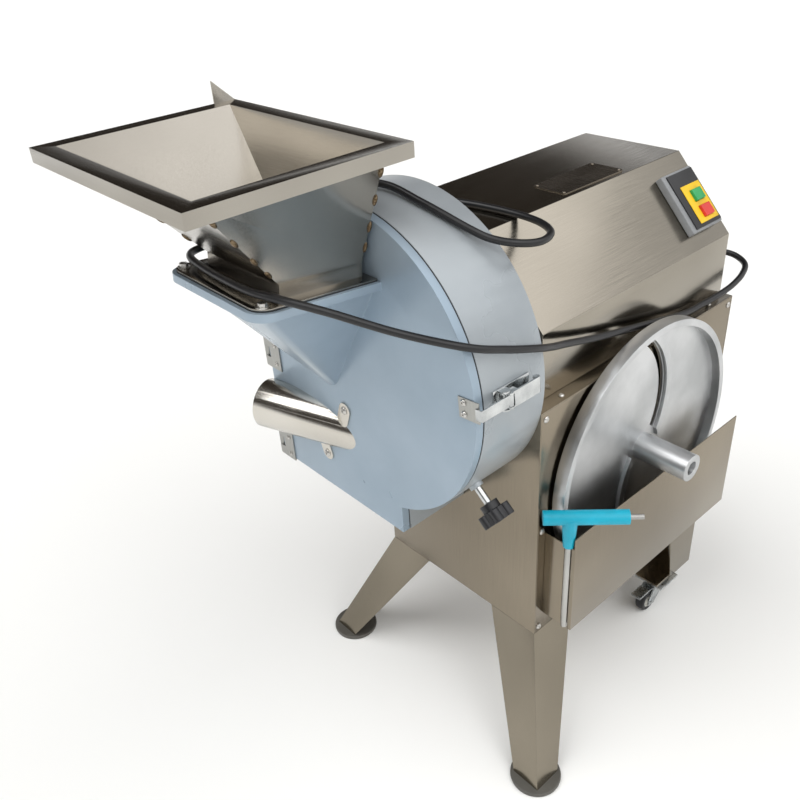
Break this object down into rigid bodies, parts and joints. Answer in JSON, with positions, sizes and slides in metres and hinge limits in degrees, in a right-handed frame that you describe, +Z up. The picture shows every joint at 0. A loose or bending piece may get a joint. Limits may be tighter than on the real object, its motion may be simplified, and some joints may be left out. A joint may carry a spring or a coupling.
{
  "type": "industrial vegetable dicer",
  "caption": "Floor-standing food dicing machine: hinged drum cover with feed hopper, knife rollers, belt drive, cabinet on legs and casters, spare disc and key.",
  "frame": {"origin": "on the floor under the middle of the machine", "axes": "+Z up, -Y the front with the drum, +X to the right seen from the front"},
  "size_m": [0.651, 1.0595, 1.141],
  "materials": {
    "stainless": "brushed",
    "cast": "satin painted casting",
    "steel": "satin",
    "black_rubber": "matte",
    "tyre": "matte",
    "black_plastic": "matte",
    "grey_plastic": "matte",
    "yellow_plate": "matte",
    "green_plastic": "gloss",
    "red_plastic": "gloss",
    "turquoise_plastic": "satin",
    "zinc": "bright zinc",
    "bronze": "machined",
    "motor_paint": "semi gloss",
    "belt": "matte",
    "aluminium": "as cast and turned"
  },
  "bodies": {
    "frame": {"cabinet_body": "stainless", "side_panel": "stainless", "rear_panel": "stainless", "hood": "stainless", "panel_screws": "steel", "front_legs": "stainless", "foot_pads": "black_rubber", "rear_legs": "stainless", "caster_plates": "zinc", "disc_pocket": "stainless", "drum_housing": "cast", "drum_hinges": "steel", "latch_base": "steel", "switch_box": "grey_plastic", "switch_face": "black_plastic", "switch_plate": "yellow_plate", "slicing_knife": "steel", "bearing_stand": "motor_paint", "bearing_housing": "motor_paint", "spindle_bearings": "steel", "motor": "motor_paint", "v_belts": "belt", "knife_bushings": "bronze", "cable_gland": "black_plastic", "power_cord": "black_rubber", "plug": "black_rubber"},
    "door": {"front_cover": "cast", "cover_seal": "black_rubber", "hopper": "stainless", "hopper_gasket": "black_rubber", "cover_bolts": "steel", "shaft_guard": "steel", "cover_hinges": "steel", "latch_keeper": "steel"},
    "lever": {"latch_lever": "zinc"},
    "hook": {"latch_hook": "zinc"},
    "rotor": {"spindle": "steel", "impeller": "aluminium", "main_gear": "steel", "main_pulley": "steel"},
    "motor_rotor": {"motor_pulley": "steel"},
    "idler": {"idler_gear": "steel"},
    "strip": {"strip_shaft": "steel", "strip_knives": "steel"},
    "cross": {"cross_shaft": "steel", "cross_cutter": "steel"},
    "gate": {"slice_gate": "steel"},
    "gate_rod": {"gate_screw": "zinc"},
    "knob": {"gate_knob": "black_plastic"},
    "start": {"start_button": "green_plastic"},
    "stop": {"stop_button": "red_plastic"},
    "disc": {"spare_disc": "aluminium"},
    "key": {"hex_key": "steel", "key_handle": "turquoise_plastic"},
    "left_caster": {"left_fork": "zinc"},
    "left_roll": {"left_wheel": "tyre"},
    "left_brake": {"left_pedal": "zinc"},
    "right_caster": {"right_fork": "zinc"},
    "right_roll": {"right_wheel": "tyre"},
    "right_brake": {"right_pedal": "zinc"}
  },
  "joints": [
    {"name": "cover_swing", "type": "hinge", "parent": "frame", "child": "door", "pos_m": [-0.3051, -0.183, 0.6], "axis": [0, 0, -1], "range_deg": [0, 110], "deforming": ["power_cord"]},
    {"name": "latch_swing", "type": "hinge", "parent": "frame", "child": "lever", "pos_m": [0.21, -0.139, 0.78159], "axis": [0.0837, 0, -0.9965], "range_deg": [0, 90]},
    {"name": "hook_swing", "type": "hinge", "parent": "lever", "child": "hook", "pos_m": [0.21697, -0.135, 0.78217], "axis": [0.0837, 0, -0.9965], "range_deg": [-117, 0]},
    {"name": "spindle_turn", "type": "hinge", "parent": "frame", "child": "rotor", "pos_m": [-0.0471, -0.047, 0.76], "axis": [0, 1, 0], "continuous": true},
    {"name": "motor_turn", "type": "hinge", "parent": "frame", "child": "motor_rotor", "pos_m": [0.0929, 0.253, 0.352], "axis": [0, 1, 0], "continuous": true},
    {"name": "idler_turn", "type": "hinge", "parent": "frame", "child": "idler", "pos_m": [-0.19582, -0.075, 0.63388], "axis": [0, 1, 0], "continuous": true},
    {"name": "cross_turn", "type": "hinge", "parent": "frame", "child": "cross", "pos_m": [-0.2433, -0.107, 0.53355], "axis": [0, 1, 0], "continuous": true},
    {"name": "strip_turn", "type": "hinge", "parent": "frame", "child": "strip", "pos_m": [-0.1841, -0.107, 0.512], "axis": [0, 1, 0], "continuous": true},
    {"name": "gate_feed", "type": "slide", "parent": "frame", "child": "gate_rod", "axis": [-0.766, 0, 0.6428], "range_m": [0, 0.0063]},
    {"name": "knob_turn", "type": "hinge", "parent": "gate_rod", "child": "knob", "pos_m": [0.17046, -0.131, 0.57745], "axis": [-0.766, 0, 0.6428], "range_deg": [0, 1296]},
    {"name": "gate_swing", "type": "hinge", "parent": "frame", "child": "gate", "pos_m": [0.18363, -0.131, 0.72757], "axis": [0, 1, 0], "range_deg": [0, 3]},
    {"name": "start_press", "type": "slide", "parent": "frame", "child": "start", "axis": [-0.7359, 0, -0.6771], "range_m": [0, 0.003], "stiffness_N_per_m": 300},
    {"name": "stop_press", "type": "slide", "parent": "frame", "child": "stop", "axis": [-0.7359, 0, -0.6771], "range_m": [0, 0.003], "stiffness_N_per_m": 300},
    {"name": "disc_lift", "type": "slide", "parent": "frame", "child": "disc", "axis": [0, 0, 1], "range_m": [0, 0.46]},
    {"name": "key_lift", "type": "slide", "parent": "frame", "child": "key", "axis": [0, 0, 1], "range_m": [0, 0.22]},
    {"name": "left_swivel", "type": "hinge", "parent": "frame", "child": "left_caster", "pos_m": [-0.1411, 0.393, 0.06], "axis": [0, 0, 1], "continuous": true},
    {"name": "left_wheel_turn", "type": "hinge", "parent": "left_caster", "child": "left_roll", "pos_m": [-0.1411, 0.359, 0.025], "axis": [1, 0, 0], "continuous": true},
    {"name": "left_brake_press", "type": "hinge", "parent": "left_caster", "child": "left_brake", "pos_m": [-0.1411, 0.379, 0.05], "axis": [1, 0, 0], "range_deg": [0, 12]},
    {"name": "right_swivel", "type": "hinge", "parent": "frame", "child": "right_caster", "pos_m": [0.1749, 0.393, 0.06], "axis": [0, 0, 1], "continuous": true},
    {"name": "right_wheel_turn", "type": "hinge", "parent": "right_caster", "child": "right_roll", "pos_m": [0.1749, 0.359, 0.025], "axis": [1, 0, 0], "continuous": true},
    {"name": "right_brake_press", "type": "hinge", "parent": "right_caster", "child": "right_brake", "pos_m": [0.1749, 0.379, 0.05], "axis": [1, 0, 0], "range_deg": [0, 12]}
  ],
  "couplings": [
    {"joint": "hook_swing", "follows": "latch_swing", "ratio": -1.3},
    {"joint": "motor_turn", "follows": "spindle_turn", "ratio": 2},
    {"joint": "idler_turn", "follows": "spindle_turn", "ratio": -1.6},
    {"joint": "cross_turn", "follows": "spindle_turn", "ratio": 3.3333},
    {"joint": "strip_turn", "follows": "spindle_turn", "ratio": -4.4444},
    {"joint": "knob_turn", "follows": "gate_feed", "rad_per_m": 3590.4},
    {"joint": "gate_swing", "follows": "gate_feed", "rad_per_m": 8.3111}
  ]
}
